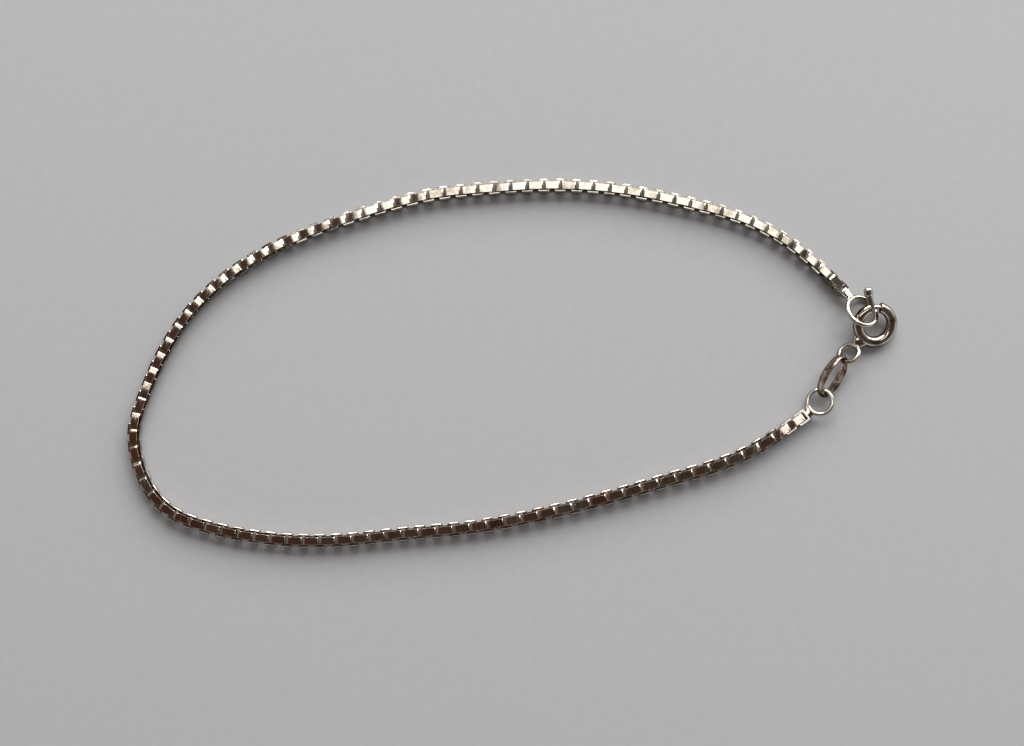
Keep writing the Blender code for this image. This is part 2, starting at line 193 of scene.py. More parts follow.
# The scratches: each layer's turn and spot, how long they are drawn, the noise levels where one
# starts and ends, their height, and the scale and height of the soft waves between them
SCRATCH_LAYERS = ((0.5, 300), (-0.9, 100))
SCRATCH_SQUEEZE = 0.09
SCRATCH_SPAN = (0.28, 0.42)
SCRATCH_HEIGHT = 0.12
WAVE_SCALE = 700.0
WAVE_HEIGHT = 0.6
BUMP_DISTANCE = 0.04 * MM

# Roughness that scratches and the reddest film add, and how sharply the film's part sets in
SCRATCH_DULLING = 0.10
COPPER_DULLING = 0.12
COPPER_POWER = 4.0

# The surface: its size in metres, scale and strength of its fine grain, and its gloss
SURFACE_SIZE = 4.0
GRAIN_SCALE = 900.0
GRAIN = 0.04
SURFACE_ROUGHNESS = 0.9
SURFACE_GLOSS = 0.1

# The room by heading: the heights over which the walls give way to the ceiling and the horizon
# fades, where the near wall turns into the far one and the left ceiling into the right one, and
# the grey that the camera sees past the surface
CEILING_SPAN = (0.40, 0.88)
HORIZON_SPAN = (0.02, 0.36)
WALL_SPAN = (-0.6, 0.6)
CEILING_TURN = (-0.25, 0.2)
BACKDROP = (0.5, 0.5, 0.5, 1.0)

# Kinds of socket in a node group
NUMBER = "NodeSocketFloat"
COLOUR = "NodeSocketColor"
VECTOR = "NodeSocketVector"


def length(name, text, value):
    """A length in metres that shows in the scene's own unit."""
    return FloatProperty(name=name, description=text, default=value, unit="LENGTH", precision=5)


def angle(name, text, degrees):
    """An angle that shows in degrees."""
    return FloatProperty(name=name, description=text, default=math.radians(degrees), subtype="ANGLE")


def place(name, text, millimetres):
    """A point in space."""
    return FloatVectorProperty(
        name=name, description=text, default=[each * MM for each in millimetres], subtype="TRANSLATION",
        precision=5)


def colour(name, text, value):
    """A colour with a swatch."""
    return FloatVectorProperty(
        name=name, description=text, default=value, subtype="COLOR", min=0.0, max=1.0)


def power(name, text, value):
    """The power of a light in watts."""
    return FloatProperty(name=name, description=text, default=value, min=0.0, unit="POWER")


def share(name, text, value):
    """A part of one whole."""
    return FloatProperty(name=name, description=text, default=value, min=0.0, max=1.0, subtype="FACTOR")


class ChainSizes(bpy.types.PropertyGroup):
    """Sizes of one box link and of the line of links."""

    link_count: IntProperty(
        name="Links", description="Links from end ring to end ring", default=191, min=3)
    link_length: length("Link length", "Outside length of an upright link", 1.82 * MM)
    flat_length: share("Flat length", "Length of a flat link as a part of an upright one's", 0.71)
    link_height: length("Link height", "Outside height of a link's ring", 1.48 * MM)
    link_step: length("Link step", "Distance between neighbours of a full-sized link", 0.93 * MM)
    strip_width: length("Strip width", "Width of the strip that a link is bent from", 0.85 * MM)
    strip_thickness: length("Strip thickness", "Thickness of the strip", 0.18 * MM)
    bend_length: length("Bend length", "How far a bend reaches along the plate", 0.165 * MM)
    bend_depth: length("Bend depth", "How far a bend falls below the plate", 0.105 * MM)
    plate_drop: length("Plate drop", "How far a plate curves down towards its ends", 0.033 * MM)
    level_part: share("Level part", "The plate's level middle as a part of its length", 0.45)
    plate_softness: length("Plate softness", "Width of the worn edges of an upright link", 0.032 * MM)
    rim_softness: length("Rim softness", "Width of the worn edges of a flat link", 0.078 * MM)
    end_roll: angle("End roll", "Roll of the chain's last link, with the loop's inner side up", 17.0)
    rolled_stretch: length("Rolled stretch", "How much of the chain's far end is rolled", 3.4 * MM)
    near_roll: angle("Near roll", "Roll of the chain's first links, with the loop's outer side up", 6.0)
    near_stretch: length("Near stretch", "How much of the chain's near end is rolled", 3.8 * MM)
    link_play: angle("Link play", "How far a link may lean in its neighbours", 2.2)


class RingSizes(bpy.types.PropertyGroup):
    """Sizes and places of the two end rings."""

    wire: length("Wire radius", "Radius of the rings' wire", 0.25 * MM)
    near_centre: place("Near centre", "Middle of the near end ring", (33.50, -4.25, 0.95))
    near_radius: length("Near radius", "Radius to the middle of the near ring's wire", 1.33 * MM)
    near_tilt: angle("Near tilt", "How steeply the near ring is raised", 14.0)
    near_uphill: angle("Near uphill", "Heading of the near ring's raised side", -27.0)
    far_centre: place("Far centre", "Middle of the far end ring", (38.01, 5.62, 1.24))
    far_radius: length("Far radius", "Radius to the middle of the far ring's wire", 1.75 * MM)
    far_tilt: angle("Far tilt", "How steeply the far ring is raised", 34.4)
    far_uphill: angle("Far uphill", "Heading of the far ring's raised side", 234.0)


class ClaspSizes(bpy.types.PropertyGroup):
    """Sizes and places of the spring ring clasp, its bail and its tongue."""

    centre: place("Centre", "Middle of the clasp's ring", (39.455, 4.16, 1.08))
    radius: length("Radius", "Radius to the middle of the tube", 1.90 * MM)
    tube: length("Tube radius", "Outside radius of the tube", 0.58 * MM)
    tilt: angle("Tilt", "How steeply the clasp is raised", 15.3)
    uphill: angle("Uphill", "Heading of the clasp's raised side", 124.0)
    gap_left: angle("Gap start", "Left end of the gap, from the clasp's top", 19.5)
    gap_right: angle("Gap end", "Right end of the gap, from the clasp's top", -13.5)
    rim_softness: length("Rim softness", "Rounding of the tube's two ends", 0.08 * MM)
    bore: length("Bore radius", "Radius of the bore that the tongue slides in", 0.33 * MM)
    bore_end: angle("Bore end", "How far the bore runs into the tube", 150.0)
    seat_end: angle("Seat end", "How far the hole for the tongue's tip runs in", -19.5)
    slot_half_height: length("Slot half height", "Half the height of the knob's slot", 0.36 * MM)
    tongue_wire: length("Tongue radius", "Radius of the tongue's wire", 0.27 * MM)
    tongue_tip: angle("Tongue tip", "Where the tongue ends in its seat", -15.5)
    tongue_tail: angle("Tongue tail", "Where the tongue ends in the tube", 46.0)
    knob_angle: angle("Knob angle", "Where the knob stands", 15.5)
    knob_travel: angle("Knob travel", "How far the knob slides", 31.0)
    stem: length("Stem radius", "Radius of the knob's stem", 0.40 * MM)
    knob: length("Knob radius", "Radius of the knob", 0.50 * MM)
    knob_flatness: share("Knob flatness", "The knob's height as a part of its width", 0.74)
    knob_start: length("Knob start", "Distance of the knob's foot from the clasp's axis", 3.34 * MM)
    knob_top: length("Knob top", "Distance of the knob's top from the clasp's axis", 4.24 * MM)
    bail_centre: place("Bail centre", "Middle of the bail", (36.61, 1.02, 1.12))
    bail_radius: length("Bail radius", "Radius to the middle of the bail's wire", 1.09 * MM)
    bail_wire: length("Bail wire", "Radius of the bail's wire", 0.25 * MM)
    bail_tilt: angle("Bail tilt", "How steeply the bail is raised", 42.5)
    bail_uphill: angle("Bail uphill", "Heading of the bail's raised side", -50.0)
    neck_angle: angle("Neck angle", "Where the bail's neck leaves the tube", 137.0)


class LeafSizes(bpy.types.PropertyGroup):
    """Sizes and place of the leaf link."""

    centre: place("Centre", "Middle of the leaf link", (34.81, -1.45, 1.25))
    length: length("Length", "Outside length", 5.05 * MM)
    breadth: length("Breadth", "Outside breadth", 2.60 * MM)
    thickness: length("Thickness", "Thickness of the strip", 0.24 * MM)
    end_width: length("End width", "Width of the strip at the link's two ends", 0.46 * MM)
    middle_width: length("Middle width", "Width of the strip halfway along its long sides", 0.94 * MM)
    crown: length("Crown", "How much the leaf bulges outward along its middle", 0.06 * MM)
    fullness: FloatProperty(name="Fullness", description="How quickly the strip widens", default=1.5)
    heading: angle("Heading", "Heading of the link's length", 59.9)
    roll: angle("Roll", "Roll of the link about its length", 42.0)
    rise: angle("Rise", "How steeply the link rises along its length", 1.3)
    dent_depth: length("Dent depth", "Depth of the small dents inside the leaf", 0.035 * MM)


class Finish(bpy.types.PropertyGroup):
    """Colours and wear of the gold."""

    clean: colour("Clean gold", "Polished pale yellow gold", (0.94, 0.87, 0.76))
    worn: colour("Worn gold", "Rubbed gold on the links' plates", (0.87, 0.78, 0.64))
    # Colour of the dark film: tarnish in patches, and painted shade on inner faces and steep sides
    tarnish_and_shade: colour("Tarnish And Shade", "Dark film in the hollows", (0.105, 0.065, 0.038))
    copper: colour("Copper", "Reddish film where the alloy shows", (0.66, 0.29, 0.19))
    polish: share("Polish", "Roughness of the clean gold", 0.07)
    dullness: share("Dullness", "Roughness under the tarnish", 0.26)


class StageSettings(bpy.types.PropertyGroup):
    """The surface, the light and the camera."""

    floor_colour: colour("Surface", "Plain pale surface under the bracelet", (0.62, 0.624, 0.63))
    left_ceiling: colour("Left ceiling", "Dim room above on the left", (0.056, 0.029, 0.022))
    right_ceiling: colour("Right ceiling", "Dim room above on the right", (0.041, 0.034, 0.026))
    horizon: share("Horizon", "Brightness of the room level with the surface", 0.60)
    near_walls: share("Near walls", "Brightness of the room low down at the near side", 0.08)
    far_walls: share("Far walls", "Brightness of the room low down at the far side", 0.36)
    top_power: power("Top light", "Power of the soft light overhead", 0.20)
    top_centre: place("Top light centre", "Middle of the light overhead", (-10.0, 94.0, 500.0))
    top_width: length("Top light width", "Size of the light overhead from left to right", 0.52)
    top_depth: length("Top light depth", "Size of the light overhead from near to far", 0.096)
    top_turn: angle("Top light turn", "Turn of the light overhead", -5.5)
    side_power: power("Side light", "Power of the soft light at the far side", 10.0)
    side_centre: place("Side light centre", "Middle of the far side's light", (172.0, 736.0, 462.0))
    side_width: length("Side light width", "Width of the light at the far side", 1.05)
    side_height: length("Side light height", "Height of the light at the far side", 0.62)
    corner_power: power("Corner light", "Power of the weak light low at the far right", 0.76)
    corner_centre: place("Corner light centre", "Middle of the weak light", (603.0, 471.0, 234.0))
    corner_width: length("Corner light width", "Width of the light at the far right", 0.42)
    corner_height: length("Corner light height", "Height of the light at the far right", 0.36)
    lens: FloatProperty(name="Lens", description="Focal length in millimetres", default=58.0, min=1.0)
    camera_place: place("Camera", "The camera, which looks straight down", (0.0, -1.11, 180.4))


def start_clean():
    """Leaves every object deselected in object mode."""
    if bpy.context.mode != "OBJECT":
        bpy.ops.object.mode_set(mode="OBJECT")
    bpy.ops.object.select_all(action="DESELECT")


def make_active(obj, *others):
    """Selects an object, and any others with it, and makes it the active one."""
    start_clean()
    for each in (obj, *others):
        each.select_set(True)
    bpy.context.view_layer.objects.active = obj


def open_mesh(obj, kind):
    """Opens an object in edit mode with nothing selected."""
    make_active(obj)
    bpy.ops.object.mode_set(mode="EDIT")
    bpy.ops.mesh.select_mode(type=kind)
    bpy.ops.mesh.select_all(action="DESELECT")


def pick(obj, kind, wanted):
    """Selects only the vertices, edges or faces that pass a test."""
    bpy.ops.mesh.select_mode(type=kind)
    bpy.ops.mesh.select_all(action="DESELECT")
    mesh = bmesh.from_edit_mesh(obj.data)
    parts = {"VERT": mesh.verts, "EDGE": mesh.edges, "FACE": mesh.faces}[kind]
    for part in parts:
        if wanted(part):
            part.select_set(True)
    bmesh.update_edit_mesh(obj.data)


def settle(obj, matrix):
    """Puts an object at a place and moves that place into its mesh."""
    make_active(obj)
    obj.matrix_world = matrix @ obj.matrix_world
    bpy.context.view_layer.update()
    bpy.ops.object.transform_apply(location=True, rotation=True, scale=True)


def open_new(name):
    """Names the shape just added, puts its place into its mesh, and opens it all selected."""
    obj = bpy.context.object
    obj.name = name
    bpy.ops.object.transform_apply(location=True, rotation=True, scale=True)
    bpy.ops.object.mode_set(mode="EDIT")
    bpy.ops.mesh.select_all(action="SELECT")
    return obj


def face_out(obj):
    """Makes every face point outward."""
    open_mesh(obj, "FACE")
    bpy.ops.mesh.select_all(action="SELECT")
    bpy.ops.mesh.normals_make_consistent(inside=False)
    start_clean()


def shade_round(obj, crease=SMOOTH_ANGLE):
    """Shades an object smooth, but for edges sharper than the crease."""
    make_active(obj)
    bpy.ops.object.shade_smooth_by_angle(angle=crease)


def combine(obj, tool, operation):
    """Joins a tool to an object, or cuts it out of the object, and removes the tool."""
    make_active(obj)
    modifier = obj.modifiers.new(tool.name, "BOOLEAN")
    modifier.operation = operation
    modifier.solver = "EXACT"
    modifier.object = tool
    bpy.ops.object.modifier_apply(modifier=modifier.name)
    bpy.data.objects.remove(tool)


def soften(obj, width):
    """Bevels an object's sharp edges."""
    make_active(obj)
    modifier = obj.modifiers.new("worn_edges", "BEVEL")
    modifier.width = width
    modifier.segments = WORN_STEPS
    modifier.limit_method = "ANGLE"
    modifier.angle_limit = WORN_ANGLE
    bpy.ops.object.modifier_apply(modifier=modifier.name)


def round_ends(obj, width):
    """Rounds the rims of the two flat ends of a length of wire or tube."""
    open_mesh(obj, "FACE")
    pick(obj, "FACE", lambda face: len(face.verts) > 4)
    bpy.ops.mesh.region_to_loop()
    bpy.ops.mesh.bevel(offset=width, segments=END_STEPS, affect="EDGES")
    start_clean()


def dress(obj, name, body, nodes, slot, material):
    """Names a finished piece, gives it its material, ties it to its body and hides the CAD nodes it
    stands for.
    """
    obj.name = name
    obj.data.name = name
    obj.data.materials.clear()
    obj.data.materials.append(material)
    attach(obj, body)
    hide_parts(*nodes)


def tilted_frame(centre, tilt, uphill):
    """Returns the frame of a ring that lies flat and is then raised on its uphill side."""
    across = Vector((math.sin(uphill), -math.cos(uphill), 0.0))
    return Matrix.Translation(centre) @ Matrix.Rotation(tilt, 4, across)


def on_circle(ring, radius, turn):
    """Returns a point of a ring, with the angle counted from +Y towards -X."""
    return ring @ Vector((-radius * math.sin(turn), radius * math.cos(turn), 0.0))


def nearest_on_ring(ring, radius, point):
    """Returns the point of a ring that lies nearest to another point."""
    towards = ring.inverted() @ point
    return ring @ (Vector((towards.x, towards.y, 0.0)).normalized() * radius)


def section_place(middle, along, up):
    """Returns the frame of a bar's section, with z along the bar and y up."""
    side = up.cross(along).normalized()
    above = along.cross(side).normalized()
    turn = Matrix((side, above, along.normalized())).transposed()
    return Matrix.Translation(middle) @ turn.to_4x4()


def bridged_bar(name, sections, sides, spin=0.0):
    """Bridges sections into a bar. Each is a place with z along the bar, and its two half sizes."""
    start_clean()
    bar = None
    for where, half_width, half_height in sections:
        middle = where.to_translation()
        turn = where.to_3x3()
        bpy.ops.mesh.primitive_circle_add(
            vertices=sides, radius=half_width / math.cos(spin), location=middle,
            rotation=(turn @ Matrix.Rotation(spin, 3, "Z")).to_euler())
        if bar is None:
            bar = open_new(name)
        bpy.ops.transform.resize(
            value=(1.0, half_height / half_width, 1.0), orient_type="GLOBAL",
            orient_matrix_type="GLOBAL", orient_matrix=[list(axis) for axis in turn.transposed()],
            center_override=middle)
    bpy.ops.mesh.select_mode(type="EDGE")
    bpy.ops.mesh.select_all(action="SELECT")
    bpy.ops.mesh.bridge_edge_loops()
    bpy.ops.mesh.select_all(action="SELECT")
    bpy.ops.mesh.fill_holes(sides=0)
    face_out(bar)
    return bar


def spun_wire(name, radius, wire, sweep, steps, sides):
    """Spins a round section about z, from the +Y side towards -X, into a closed length of wire."""
    start_clean()
    bpy.ops.mesh.primitive_circle_add(
        vertices=sides, radius=wire, fill_type="NGON", location=(0.0, radius, 0.0),
        rotation=(0.0, QUARTER, 0.0))
    obj = open_new(name)
    bpy.ops.mesh.spin(steps=steps, angle=-sweep, center=ORIGIN, axis=UP)
    face_out(obj)
    return obj


def wire_ring(name, ring, radius, wire):
    """Adds a closed ring of round wire at its place."""
    start_clean()
    bpy.ops.mesh.primitive_torus_add(
        major_segments=72, minor_segments=20, major_radius=radius, minor_radius=wire)
    obj = bpy.context.object
    obj.name = name
    settle(obj, ring)
    return obj


def smooth_route():
    """Returns lengths, positions and headings along a natural cubic spline through the route."""
    knots = np.array(ROUTE) * MM
    gaps = np.linalg.norm(np.diff(knots, axis=0), axis=1)
    at = np.concatenate(([0.0], np.cumsum(gaps)))
    count = len(knots)
    system = np.eye(count)
    right = np.zeros((count, 2))
    for i in range(1, count - 1):
        system[i, i - 1:i + 2] = (gaps[i - 1], 2.0 * (gaps[i - 1] + gaps[i]), gaps[i])
        change = (knots[i + 1] - knots[i]) / gaps[i] - (knots[i] - knots[i - 1]) / gaps[i - 1]
        right[i] = 6.0 * change
    bend = np.linalg.solve(system, right)
    where = np.linspace(0.0, at[-1], ROUTE_SAMPLES)
    span = np.clip(np.searchsorted(at, where) - 1, 0, count - 2)
    gap = gaps[span][:, None]
    ahead = (at[span + 1] - where)[:, None]
    behind = (where - at[span])[:, None]
    positions = (
        (bend[span] * ahead ** 3 + bend[span + 1] * behind ** 3) / (6.0 * gap)
        + (knots[span] / gap - bend[span] * gap / 6.0) * ahead
        + (knots[span + 1] / gap - bend[span + 1] * gap / 6.0) * behind
    )
    steps = np.linalg.norm(np.diff(positions, axis=0), axis=1)
    lengths = np.concatenate(([0.0], np.cumsum(steps)))
    slopes = np.gradient(positions, lengths, axis=0)
    headings = np.unwrap(np.arctan2(slopes[:, 1], slopes[:, 0]))
    return lengths, positions, headings


def link_frames(chain):
    """Returns each link's frame and size, with x along the chain and z up before the chain's roll."""
    lengths, positions, headings = smooth_route()
    count = chain.link_count
    meetings = [0, LAST_NEAR_LINK, count - 2]
    steps = np.interp(
        np.linspace(0.0, 1.0, count - 1), np.linspace(0.0, 1.0, len(LINK_SPACING)), LINK_SPACING)
    steps[meetings] = 0.0
    steps *= (lengths[-1] - len(meetings) * MEETING_STEP) / steps.sum()
    usual = np.delete(steps, meetings)
    steps[meetings] = MEETING_STEP
    places = np.concatenate(([0.0], np.cumsum(steps)))
    steps_here = np.interp(np.arange(count), np.linspace(0.0, count - 1.0, len(usual)), usual)
    frames = []
    for at in places:
        x = np.interp(at, lengths, positions[:, 0])
        y = np.interp(at, lengths, positions[:, 1])
        heading = np.interp(at, lengths, headings)
        roll = (
            chain.end_roll * max(1.0 - (places[-1] - at) / chain.rolled_stretch, 0.0) ** END_ROLL_EASE
            - chain.near_roll * max(1.0 - (at / chain.near_stretch) ** NEAR_ROLL_HOLD, 0.0))
        level, steep = math.cos(roll), abs(math.sin(roll))
        tall = chain.link_height / 2 * level + chain.strip_width / 2 * steep
        wide = chain.link_height / 2 * steep + chain.strip_width / 2 * level
        size = float(np.interp(at, places, steps_here)) / chain.link_step
        turn = Matrix.Rotation(heading, 4, "Z") @ Matrix.Rotation(-roll, 4, "X") @ Matrix.Scale(size, 4)
        frames.append(Matrix.Translation((x, y, max(tall, wide) * size)) @ turn)
    return frames


def model_link(chain, softness):
    """Models one box link: x along the chain, y across its ring and z along the strip's width."""
    start_clean()
    half_x = chain.link_length / 2
    half_y = chain.link_height / 2 - chain.plate_drop
    wall = chain.strip_thickness
    bpy.ops.mesh.primitive_cube_add(size=1.0, scale=(2.0 * half_x, 2.0 * half_y, chain.strip_width))
    link = bpy.context.object
    link.name = "box_link"
    open_mesh(link, "FACE")
    pick(link, "FACE", lambda face: abs(face.normal.z) > 0.9)
    bpy.ops.mesh.inset(thickness=wall, depth=0.0)
    bpy.ops.mesh.bridge_edge_loops()

    # Where a face looks along an axis, its normal's part along that axis is close to 1
    def is_outside(edge):
        """Tells whether an edge lies on the outer face of the wall."""
        middle = (edge.verts[0].co + edge.verts[1].co) / 2
        return max(abs(middle.x) - half_x, abs(middle.y) - half_y) > -wall / 2

    def runs_along(edge, axis):
        """Tells whether an edge of the outside runs along an axis."""
        run = edge.verts[1].co - edge.verts[0].co
        return is_outside(edge) and abs(run[axis]) > 0.99 * run.length

    def is_rim(edge):
        """Tells whether an edge lies between the strip's outer face and its side."""
        slants = sorted(abs(face.normal.z) for face in edge.link_faces)
        return is_outside(edge) and slants[0] < 0.1 and slants[-1] > 0.9

    def borders_wall(edge):
        """Tells whether an edge lies between a plate or end and a bend or a worn edge."""
        flat = [max(abs(face.normal.x), abs(face.normal.y)) > 0.98 for face in edge.link_faces]
        return flat[0] != flat[1]

    def starts_bend(vertex):
        """Tells whether a vertex lies where a plate turns down into a bend."""
        return abs(vertex.co.y) > half_y - 0.1 * chain.bend_depth and abs(vertex.co.x) > half_x / 2

    def breaks_plate(edge):
        """Tells whether an edge lies between a plate and a bend."""
        return all(starts_bend(vertex) for vertex in edge.verts) and runs_along(edge, 2)

    pick(link, "EDGE", lambda edge: runs_along(edge, 2))
    bpy.ops.mesh.bevel(offset=chain.bend_depth, segments=1, affect="EDGES")
    pick(link, "VERT", starts_bend)
    bpy.ops.transform.resize(
        value=((half_x - chain.bend_length) / (half_x - chain.bend_depth), 1.0, 1.0),
        center_override=ORIGIN)
    pick(link, "EDGE", breaks_plate)
    bpy.ops.mesh.bevel(offset=chain.bend_length / 3, segments=1, affect="EDGES")
    pick(link, "EDGE", lambda edge: runs_along(edge, 0))
    bpy.ops.mesh.subdivide(number_cuts=PLATE_PARTS - 1, ngon=True)
    pick(
        link, "VERT",
        lambda vertex: abs(vertex.co.x) < half_x / 2 and abs(vertex.co.y) > half_y - wall / 2)
    bpy.ops.transform.resize(
        value=(chain.level_part * PLATE_PARTS, 1.0 + chain.plate_drop / half_y, 1.0),
        center_override=ORIGIN)
    pick(link, "EDGE", is_rim)
    bpy.ops.mesh.bevel(offset=softness, segments=1, affect="EDGES")
    shade_round(link, LINK_SMOOTH_ANGLE)
    open_mesh(link, "EDGE")
    pick(link, "EDGE", borders_wall)
    bpy.ops.mesh.mark_sharp()
    start_clean()
    # Inner faces are marked here for the painted shade that darkens the link's hollow
    hollow = link.data.attributes.new("hollow", "FLOAT", "CORNER")
    for face in link.data.polygons:
        inner = max(abs(face.center.x) - half_x, abs(face.center.y) - half_y) < WALL_TOLERANCE - wall
        for corner in face.loop_indices:
            hollow.data[corner].value = 1.0 if inner else 0.0
    link.data.attributes.new("tone", "FLOAT", "POINT")
    link.data.attributes.new("copper", "FLOAT", "POINT")
    return link


def copied_link(link, matrix, tone, copper):
    """Copies the link with a mesh of its own, puts it in its place and marks its tone and copper."""
    make_active(link)
    bpy.ops.object.duplicate(linked=False)
    copy = bpy.context.object
    settle(copy, matrix)
    for name, value in (("tone", tone), ("copper", copper)):
        copy.data.attributes[name].data.foreach_set("value", [value] * len(copy.data.vertices))
    return copy


def joined(parts):
    """Joins objects into the first of them."""
    make_active(*parts)
    bpy.ops.object.join()
    return bpy.context.object


def lying_flat(matrix, chain):
    """Returns the place of a flat link, which is shorter than an upright one."""
    return matrix @ Matrix.Scale(chain.flat_length, 4, ALONG)


def leaning(matrix, upright, chain, rng):
    """Returns the place of a link that leans a little in its neighbours."""
    play = chain.link_play if upright else FLAT_PLAY * chain.link_play
    lean = Matrix.Identity(4)
    for axis, spread in LEAN_SPREADS:
        lean = lean @ Matrix.Rotation(rng.gauss(0.0, spread) * play, 4, axis)
    if upright:
        return matrix @ lean @ Matrix.Rotation(QUARTER, 4, "X")
    return lying_flat(matrix @ lean, chain)


def covered(distance, reach):
    """Returns the part of a reach that a distance covers, from none to all of it."""
    return min(max(distance / reach, 0.0), 1.0)


def copper_share(where):
    """How reddish a link is: a little on the near side, more at the left, and most in two patches."""
    near = covered(COPPER_EDGE - where.y, COPPER_EDGE)
    left = covered(LEFT_EDGE - where.x, LEFT_FADE)
    red = max(math.exp(-((where.x / MM - middle) / half) ** 4) for middle, half in COPPER_PATCHES)
    return near * max(NEAR_COPPER, LEFT_COPPER * left, red)


def raise_to_surface(obj):
    """Lifts an object that reaches under the surface back onto it."""
    lowest = min(vertex.co.z for vertex in obj.data.vertices)
    if lowest < 0.0:
        settle(obj, Matrix.Translation((0.0, 0.0, -lowest)))


def end_piece(link, name, chain, link_frame, ring, radius, wire, outline):
    """Solders a ring to an end link, with a web that flares from inside the link out to the wire."""
    piece = wire_ring(name, ring, radius, wire)
    link_middle = link_frame.translation
    seat = nearest_on_ring(ring, radius, link_middle)
    along = (link_frame.to_3x3() @ ALONG).normalized()
    if along.dot(seat - link_middle) < 0.0:
        along = -along
    mouth = link_middle + along * MOUTH * MM
    forward = (seat - mouth).normalized()
    link_up = (link_frame.to_3x3() @ UP).normalized()
    ring_up = (ring.to_3x3() @ UP).normalized()
    sections = []
    for part_way, half_width, half_height in outline:
        if part_way <= 0.0:
            where = section_place(mouth + along * part_way * MOUTH * MM, along, link_up)
        else:
            # The web turns to the wire over its first half, and takes up a third of the ring's tilt
            heading = along.lerp(forward, min(part_way * 2.0, 1.0))
            up = link_up.lerp(ring_up, part_way / 3)
            where = section_place(mouth.lerp(seat, part_way), heading, up)
        sections.append((where, half_width * MM, half_height * MM))
    web = bridged_bar(name + "_web", sections, sides=4, spin=QUARTER / 2)
    soften(web, WEB_SOFTNESS)
    combine(piece, web, "UNION")
    combine(piece, copied_link(link, lying_flat(link_frame, chain), tone=0.5, copper=0.0), "UNION")
    return piece


def mark_evenly(obj, tone, copper=0.0):
    """Marks a piece that isn't part of the chain with an even tone."""
    for name, value in (("hollow", 0.0), ("tone", tone), ("copper", copper)):
        if name in obj.data.attributes:
            continue
        made = obj.data.attributes.new(name, "FLOAT", "POINT")
        made.data.foreach_set("value", [value] * len(obj.data.vertices))


def new_group(name, inputs, outputs):
    """Starts a shader node group with its named inputs and outputs."""
    tree = bpy.data.node_groups.new(name, "ShaderNodeTree")
    for label, kind, value in inputs:
        socket = tree.interface.new_socket(label, in_out="INPUT", socket_type=kind)
        if value is not None:
            socket.default_value = value
    for label, kind in outputs:
        tree.interface.new_socket(label, in_out="OUTPUT", socket_type=kind)
    start = tree.nodes.new("NodeGroupInput")
    start.location = (-900, 0)
    end = tree.nodes.new("NodeGroupOutput")
    end.location = (900, 0)
    return tree, start.outputs, end.inputs


def wire_node(tree, kind, spot, sources=None, **settings):
    """Adds a node at a spot, sets it up, and feeds its inputs from sockets or with values."""
    node = tree.nodes.new(kind)
    node.location = spot
    for name, value in settings.items():
        setattr(node, name, value)
    for key, source in (sources or {}).items():
        if isinstance(source, bpy.types.NodeSocket):
            tree.links.new(source, node.inputs[key])
        else:
            node.inputs[key].default_value = source
    return node


def blend_colours(tree, spot, factor, first, second):
    """Adds a node that mixes two colours and returns its colour."""
    # The node's colour sockets are its inputs 6 and 7 and its output 2
    sources = {0: factor, 6: first, 7: second}
    return wire_node(tree, "ShaderNodeMix", spot, sources, data_type="RGBA").outputs[2]


def calculate(tree, spot, operation, *numbers, clamp=False):
    """Adds a node that calculates with two or three numbers and returns its result."""
    node = wire_node(
        tree, "ShaderNodeMath", spot, dict(enumerate(numbers)), operation=operation, use_clamp=clamp)
    return node.outputs[0]


def ramp(tree, spot, value, span, levels=(0.0, 1.0), smooth=True):
    """Adds a node that goes from one level to the other as a value crosses a span."""
    node = wire_node(
        tree, "ShaderNodeMapRange", spot,
        {"Value": value, "From Min": span[0], "From Max": span[1], "To Min": levels[0],
         "To Max": levels[1]},
        interpolation_type="SMOOTHSTEP" if smooth else "LINEAR")
    return node.outputs["Result"]


def group_node(tree, spot, name, build, sources):
    """Adds a node that holds a shared group, which is built when it is first asked for."""
    group = bpy.data.node_groups.get(name) or build(name)
    return wire_node(tree, "ShaderNodeGroup", spot, sources, node_tree=group).outputs


def film_and_shade_group(name):
    """Returns a new group for dark film: tarnish in soft patches, and painted shade on the links' inner
    faces and low on steep sides.
    """
    tree, given, result = new_group(
        name,
        [
            ("Coordinates", VECTOR, None),
            ("Hollow", NUMBER, 0.0),
            ("Tone", NUMBER, 0.5),
            ("Upward", NUMBER, 1.0),
            ("Patch Scale", NUMBER, 900.0),
            ("Amount", NUMBER, 0.5),
            ("Side Shade", NUMBER, 0.5),
        ],
        [("Mask", NUMBER)],
    )
    patches = wire_node(
        tree, "ShaderNodeTexNoise", (-600, 200),
        {"Vector": given["Coordinates"], "Scale": given["Patch Scale"], "Detail": 5.0,
         "Roughness": 0.62})
    shifted = calculate(tree, (-400, 60), "MULTIPLY_ADD", given["Tone"], TONE_SHIFT, -TONE_SHIFT / 2)
    level = calculate(tree, (-300, 200), "ADD", patches.outputs["Fac"], shifted)
    film = ramp(tree, (-100, 200), level, PATCH_SPAN)
    film_part = calculate(tree, (120, 200), "MULTIPLY", film, given["Amount"])
    # Painted shade on the links' inner faces
    hollow_part = calculate(tree, (120, 0), "MULTIPLY", given["Hollow"], HOLLOW_SHADE)
    both = calculate(tree, (340, 100), "MAXIMUM", film_part, hollow_part, clamp=True)
    # Painted shade on steep faces, darker the less a face looks up
    low = ramp(tree, (120, -200), given["Upward"], SIDE_SHADE_SPAN)
    side_part = calculate(tree, (340, -200), "MULTIPLY", low, given["Side Shade"])
    total = calculate(tree, (560, 0), "MAXIMUM", both, side_part, clamp=True)
    tree.links.new(total, result["Mask"])
    return tree


